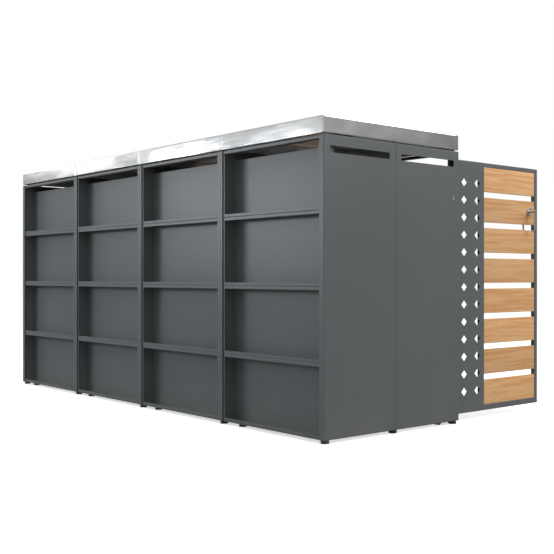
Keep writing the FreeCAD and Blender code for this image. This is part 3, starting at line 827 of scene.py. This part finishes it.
def grown(name, tree, settings, points=((0, 0, 0),), turn=None):
    """Run a tree on loose points and return the result as a plain mesh piece."""
    seeds = bpy.data.meshes.new(f"{name}_points")
    seeds.from_pydata([tuple(p) for p in points], [], [])
    carrier = bpy.data.objects.new(name, seeds)
    bpy.context.scene.collection.objects.link(carrier)
    growth = carrier.modifiers.new("growth", "NODES")
    growth.node_group = tree
    for item in tree.interface.items_tree:
        if item.in_out == "INPUT" and item.name in settings:
            growth[item.identifier] = settings[item.name]
    graph = bpy.context.evaluated_depsgraph_get()
    mesh = bpy.data.meshes.new_from_object(carrier.evaluated_get(graph), depsgraph=graph)
    carrier.modifiers.clear()
    carrier.data = mesh
    bpy.data.meshes.remove(seeds)
    if turn is not None:
        mesh.transform(turn)
    mesh.name = name
    return carrier


def pattern_part(name, solid):
    """Hidden master shape for a tree to repeat."""
    made = as_object(name, [solid])
    made.data.set_sharp_from_angle(angle=math.radians(40))
    bpy.context.scene.collection.objects.unlink(made)
    return made


def drop_pattern(part):
    """Remove a master shape once its copies are real."""
    mesh = part.data
    bpy.data.objects.remove(part)
    bpy.data.meshes.remove(mesh)


# %% [markdown]
# ### Boards
#
# One board is planed with eased edges, then stacked eight times. Before it is instanced, the
# board stores its own coordinates as the grain attribute, so that the wood turns with the door.

# %% Board stack tree
stack_tree, given, result = geometry_tree(
    "board_stack",
    [("Board", "NodeSocketObject", None), ("Count", "NodeSocketInt", 8),
     ("Step", "NodeSocketFloat", 0.14), ("Seed", "NodeSocketInt", 0),
     ("Finish", "NodeSocketMaterial", None)])
rise = add(stack_tree, "ShaderNodeCombineXYZ", {"Z": given["Step"]}).outputs[0]
line = add(stack_tree, "GeometryNodeMeshLine", {"Count": given["Count"], "Offset": rise}, mode="OFFSET")
position = add(stack_tree, "GeometryNodeInputPosition").outputs[0]
marked = add(stack_tree, "GeometryNodeStoreNamedAttribute",
             {"Geometry": part_geometry(stack_tree, given["Board"]), "Name": "grain", "Value": position},
             data_type="FLOAT_VECTOR", domain="POINT")
stack = add(stack_tree, "GeometryNodeInstanceOnPoints",
            {"Points": line.outputs["Mesh"], "Instance": marked.outputs["Geometry"]})
pick = add(stack_tree, "FunctionNodeRandomValue", {"Seed": given["Seed"]}, data_type="FLOAT")
tagged = add(stack_tree, "GeometryNodeStoreNamedAttribute",
             {"Geometry": stack.outputs["Instances"], "Name": "board", "Value": pick.outputs[1]},
             data_type="FLOAT", domain="INSTANCE")
close_tree(stack_tree, tagged.outputs["Geometry"], given, result)
print("tree", stack_tree.name)

# %% Boards on each door
BOARDS = 8
BOARD_TALL = 116.6 * MM
BOARD_THICK = 16.0 * MM
EASED = 2.2 * MM


def planed_board(length):
    """One board from its lower corner: eased edges, a few cross cuts for even shading."""
    solid = bmesh.new()
    bmesh.ops.create_cube(solid, size=1.0)
    bmesh.ops.scale(solid, vec=(length, BOARD_THICK, BOARD_TALL), verts=solid.verts)
    bmesh.ops.translate(solid, vec=(length / 2, BOARD_THICK / 2, BOARD_TALL / 2), verts=solid.verts)
    bmesh.ops.bevel(solid, geom=solid.edges[:], offset=EASED, segments=3, profile=0.6, affect="EDGES")
    for cut in range(1, 8):
        bmesh.ops.bisect_plane(solid, geom=solid.verts[:] + solid.edges[:] + solid.faces[:],
                               plane_co=(length * cut / 8, 0, 0), plane_no=(1, 0, 0))
    return solid


for bay in bays:
    low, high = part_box(f"door_{bay}_slats")
    turn = door_turn(bay)
    is_open = turn != Matrix.Identity(4)
    length = max(high.x - low.x, high.y - low.y)
    corner = Vector((low.x, high.y if is_open else low.y, low.z))
    board = pattern_part("board", planed_board(length))
    step = (high.z - low.z - BOARD_TALL) / (BOARDS - 1)
    boards = grown(f"door_{bay}_boards", stack_tree,
                   {"Board": board, "Count": BOARDS, "Step": step, "Seed": 11 + bay,
                    "Finish": timber}, turn=Matrix.Translation(corner) @ turn)
    drop_pattern(board)
    settle(boards, f"door_{bay}_slats")
print("boards", BOARDS * len(bays))

# %% [markdown]
# ### Feet and screws
#
# One small tree serves both: it puts a master shape on every point, faces it one way, and gives
# it a random turn about its own axis. A foot is turned from a profile with a lip and a groove, and
# a screw head is a low dome with a round recess, fine enough for its size.

# %% Scatter tree
scatter_tree, given, result = geometry_tree(
    "set_on_points",
    [("Part", "NodeSocketObject", None), ("Facing", "NodeSocketRotation", None),
     ("Seed", "NodeSocketInt", 0), ("Finish", "NodeSocketMaterial", None)])
spin = add(scatter_tree, "FunctionNodeRandomValue", {3: 2 * math.pi, "Seed": given["Seed"]},
           data_type="FLOAT").outputs[1]
spin_axis = add(scatter_tree, "ShaderNodeCombineXYZ", {"Z": spin}).outputs[0]
spin_turn = add(scatter_tree, "FunctionNodeEulerToRotation", {0: spin_axis}).outputs[0]
both = add(scatter_tree, "FunctionNodeRotateRotation",
           {"Rotation": given["Facing"], "Rotate By": spin_turn}, rotation_space="LOCAL").outputs[0]
points = add(scatter_tree, "GeometryNodeMeshToPoints", {"Mesh": given["Geometry"]}).outputs[0]
placed = add(scatter_tree, "GeometryNodeInstanceOnPoints",
             {"Points": points, "Instance": part_geometry(scatter_tree, given["Part"]),
              "Rotation": both})
close_tree(scatter_tree, placed.outputs[0], given, result)
print("tree", scatter_tree.name)


# %% Turned shapes
def turned(profile, steps):
    """Solid of revolution about Z from (radius, height) points; the ends are closed."""
    solid = bmesh.new()
    rings = []
    angles = [2 * math.pi * n / steps for n in range(steps)]
    for radius, level in profile:
        around = angles if radius > 0 else [0.0]
        rings.append([solid.verts.new((radius * math.cos(a), radius * math.sin(a), level))
                      for a in around])
    if profile[0] == profile[-1]:
        bmesh.ops.delete(solid, geom=rings.pop(), context="VERTS")
        rings.append(rings[0])
    for lower, upper in zip(rings, rings[1:]):
        for n in range(steps):
            m = (n + 1) % steps
            corners = [lower[n % len(lower)], lower[m % len(lower)],
                       upper[m % len(upper)], upper[n % len(upper)]]
            solid.faces.new(dict.fromkeys(corners))
    bmesh.ops.recalc_face_normals(solid, faces=solid.faces)
    return solid


def rounded_profile(radius, low, high, fillet, steps=3):
    """Half outline of a disc with both outer edges filleted, from axis to axis."""
    angles = [math.pi / 2 * n / steps for n in range(steps + 1)]
    centre = radius - fillet
    lower = [(centre + fillet * math.sin(a), low + fillet - fillet * math.cos(a)) for a in angles]
    upper = [(centre + fillet * math.cos(a), high - fillet + fillet * math.sin(a)) for a in angles]
    return [(0, low), *lower, *upper, (0, high)]


# %% Feet
FOOT_R = 18.0 * MM


def solid_centres(node):
    """Centre of each separate solid in a CAD node."""
    centres = []
    for solid in solids_of(node):
        low = Vector(min(v.co[i] for v in solid.verts) for i in range(3))
        high = Vector(max(v.co[i] for v in solid.verts) for i in range(3))
        centres.append((low + high) / 2)
        solid.free()
    return sorted(centres, key=lambda c: (round(c.x, 4), round(c.y, 4), round(c.z, 4)))


foot_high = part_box("foot_pads")[1].z
LIP_TOP = foot_high * 0.62
GROOVE_R = FOOT_R - 2.2 * MM
COLLAR_R = FOOT_R - 0.8 * MM
foot_profile = rounded_profile(FOOT_R, 0.0, LIP_TOP, 1.6 * MM)[:-1]
foot_profile += [(GROOVE_R, LIP_TOP), (GROOVE_R, foot_high * 0.74), (COLLAR_R, foot_high * 0.80),
                 (COLLAR_R, foot_high), (0, foot_high)]
foot = pattern_part("foot", turned(foot_profile, 40))
foot_points = [Vector((c.x, c.y, 0)) for c in solid_centres("foot_pads")]
feet = grown("moulded_feet", scatter_tree,
             {"Part": foot, "Seed": 3, "Finish": foot_plastic}, foot_points)
drop_pattern(foot)
settle(feet, "foot_pads")
print("feet", len(foot_points))

# %% Rubber studs
for node, facing in (("lid_buffers", (0, 0, 0)), ("door_buffers", (-math.pi / 2, 0, 0))):
    low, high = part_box(node)
    centres = solid_centres(node)
    tall = high.z - low.z if node == "lid_buffers" else high.y - low.y
    radius = 5.0 * MM if node == "lid_buffers" else 4.0 * MM
    stud = pattern_part("stud", turned(rounded_profile(radius, -tall / 2, tall / 2, 0.8 * MM), 24))
    studs = grown(f"{node}_turned", scatter_tree,
                  {"Part": stud, "Facing": Euler(facing), "Seed": 5, "Finish": rubber}, centres)
    drop_pattern(stud)
    settle(studs, node)
    print(node, len(centres))

# %% [markdown]
# ### Screws in the hinge leaves
#
# Each hinge plate is held by two low-headed screws. A head is a shallow dome with a socket, turned
# from one profile. The rows follow from the levels of the hinge plates: one piece for all posts
# and one for each door, because the posts stand still and the doors swing.


# %% Hinge screws
SCREW_R = 3.2 * MM
screw_profile = [(0, 0.2 * MM), (1.1 * MM, 0.2 * MM), (1.3 * MM, 1.3 * MM), (2.4 * MM, 1.1 * MM),
                 (SCREW_R, 0.4 * MM), (SCREW_R, -0.2 * MM), (0, -0.2 * MM)]




def added_screws(screws, body):
    """Screws stand for no drawn node, so they only ride with a body."""
    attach(screws, body)


PLATE_TALL = 56.0 * MM
HINGE_LEVELS = [level * MM for level in (164.0, 614.0, 1064.0)]
SCREW_SHARES = (0.22, 0.78)    # where a plate's two screws sit, as shares of its height
LID_GAP = 0.5 * MM         # bay boundary to the side of a lid
LEAF_BACK = 3.0 * MM       # plate thickness in front of the door skin
LEAF_MIDDLE = 37.6 * MM    # bay boundary to the screws in a door's leaf
POST_MIDDLE = 6.0 * MM     # bay boundary to the screws in a post's leaf
screw = pattern_part("screw", turned(screw_profile, 20))
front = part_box("partition_1")[0].y
post_points = []
for bay in bays:
    bay_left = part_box(f"lid_{bay}")[0].x - LID_GAP
    hinge = Vector(joints[f"door_{bay}_hinge"]["pos_m"])
    hinge.z = 0
    turn = Matrix.Translation(hinge) @ door_turn(bay) @ Matrix.Translation(-hinge)
    leaf_points = []
    for level in HINGE_LEVELS:
        for share in SCREW_SHARES:
            z = level + share * PLATE_TALL
            post_points.append(Vector((bay_left + POST_MIDDLE, front - LEAF_BACK, z)))
            leaf_points.append(turn @ Vector((bay_left + LEAF_MIDDLE, front - LEAF_BACK, z)))
    facing = door_turn(bay).to_euler()
    facing.x = math.pi / 2
    screws = grown(f"door_{bay}_hinge_screws", scatter_tree,
                   {"Part": screw, "Facing": facing, "Seed": 20 + bay, "Finish": zinc}, leaf_points)
    added_screws(screws, f"door_{bay}")
post_screws = grown("hinge_post_screws", scatter_tree,
                    {"Part": screw, "Facing": Euler((math.pi / 2, 0, 0)), "Seed": 31,
                     "Finish": zinc}, post_points)
added_screws(post_screws, "root")
drop_pattern(screw)
print("hinge screws", 2 * len(post_points))

# %% [markdown]
# ## Levers and roses
#
# A lever like this is forged: a round neck on the spindle swells into a flat oval arm, hangs
# down, and turns back to the door at its tip so that a sleeve can't catch. It could be joined from
# cylinders, but the joints would show. Instead an oval section is carried along the lever's own
# line, growing and shrinking on the way. The roses are turned discs with a rolled edge.


# %% Sweep an oval along a line
def swept(solid, stations, steps=20):
    """Closed skin through oval sections: (centre, direction, side, half width, half thickness)."""
    rings = []
    angles = [2 * math.pi * n / steps for n in range(steps)]
    for centre, direction, side, half_wide, half_thick in stations:
        wide = Vector(side).normalized() * half_wide
        thick = Vector(direction).cross(side).normalized() * half_thick
        rings.append([solid.verts.new(Vector(centre) + wide * math.cos(a) + thick * math.sin(a))
                      for a in angles])
    for lower, upper in zip(rings, rings[1:]):
        for n in range(steps):
            m = (n + 1) % steps
            solid.faces.new((lower[n], lower[m], upper[m], upper[n]))
    solid.faces.new(rings[0])
    solid.faces.new(rings[-1])


LEVER_LONG = 100.0 * MM
NECK_R = 7.0 * MM
HUB_R = 9.5 * MM
ARM_HALF_WIDE = 8.0 * MM
TIP_HALF_WIDE = 6.1 * MM
TIP_THIN = 0.82            # thickness at the tip, as a share of the arm's


def lever(solid, foot_out, arm_out, tip_back, half_thick):
    """One lever: neck and hub along the spindle, then the hanging arm with its returned tip.

    Distances are along the outward direction -y; negative ones lie behind the door.
    """
    way = 1 if arm_out > 0 else -1
    neck = []
    far = arm_out + way * half_thick
    for share, radius in ((0, NECK_R), (0.55, NECK_R), (0.75, NECK_R + 0.6 * MM), (0.88, HUB_R),
                          (0.96, HUB_R), (1.0, HUB_R - 0.9 * MM)):
        out = foot_out + (far - foot_out) * share
        neck.append(((0, -out, 0), (0, -way, 0), (1, 0, 0), radius, radius))
    swept(solid, neck, 28)
    arm = []
    bend_r = abs(tip_back) * 1.15
    straight = LEVER_LONG - bend_r
    for n in range(9):
        share = n / 8
        wide = ARM_HALF_WIDE + (TIP_HALF_WIDE - ARM_HALF_WIDE) * share
        thick = half_thick * (1.0 - (1.0 - TIP_THIN) * share)
        arm.append(((0, -arm_out, -straight * share), (0, 0, -1), (1, 0, 0), wide, thick))
    for n in range(1, 8):
        angle = math.pi / 2 * 0.86 * n / 7
        level = -straight - bend_r * math.sin(angle)
        out = arm_out - way * bend_r * (1 - math.cos(angle))
        direction = (0, way * math.sin(angle), -math.cos(angle))
        closing = 1.0 if n < 7 else 0.72
        arm.append(((0, -out, level), direction, (1, 0, 0), TIP_HALF_WIDE * closing,
                    half_thick * TIP_THIN * closing))
    swept(solid, arm, 20)


# %% Handles and roses on each door
PLATE_OUT = 3.5 * MM       # outer rose face to the door's face
BACK_DEEP = 30.0 * MM      # door's face to the inner rose's face
rose_edge = [(7.3, 0), (18.2, 0), (19.4, 0.4), (20.0, 1.6), (20.0, 3.4), (19.2, 4.6), (17.6, 5.0),
             (10.6, 5.0), (10.0, 4.6), (9.4, 4.6), (8.8, 5.0), (7.3, 5.0), (7.3, 0)]

for bay in bays:
    solid = bmesh.new()
    lever(solid, PLATE_OUT - 1 * MM, 32.5 * MM, 17 * MM, 4.0 * MM)
    lever(solid, -BACK_DEEP + 1 * MM, -35.0 * MM, 5 * MM, 3.0 * MM)
    spindle = [((0, out * MM, 0), (0, 1, 0), (1, 0, 0), 4 * MM, 4 * MM) for out in (-20, 0, 20, 33)]
    swept(solid, spindle, 16)
    bmesh.ops.recalc_face_normals(solid, faces=solid.faces)
    bmesh.ops.transform(solid, matrix=spindle_frame(bay), verts=solid.verts)
    handle = smooth_piece(f"door_{bay}_lever_pair", [solid], satin, 50)
    settle(handle, f"door_{bay}_handle")
    plates = []
    for face_out, way, scale, deep in ((-1.5 * MM, 1, 1.0, 1.0), (-BACK_DEEP + 2.5 * MM, -1, 0.8, 0.5)):
        profile = [(r * scale * MM, h * deep * MM) for r, h in rose_edge]
        disc = turned(profile, 48)
        upright = Matrix.Rotation(math.radians(90 * way), 4, "X")
        place = Matrix.Translation((0, -face_out, 0))
        bmesh.ops.transform(disc, matrix=spindle_frame(bay) @ place @ upright, verts=disc.verts)
        plates.append(disc)
    roses = smooth_piece(f"door_{bay}_rose_pair", plates, satin)
    settle(roses, f"door_{bay}_roses")
print("levers", 2 * len(bays), "roses", 2 * len(bays))

# %% [markdown]
# ## Last checks
#
# Every CAD node that still shows must have a real finish.

# %% Finish
for name, node in frame["nodes"].items():
    if not node.hide_render and any(s.material not in finishes.values() for s in node.material_slots):
        for slot in node.material_slots:
            slot.material = finishes[slot_of_node[name]]
        print("plain CAD node shown:", name)
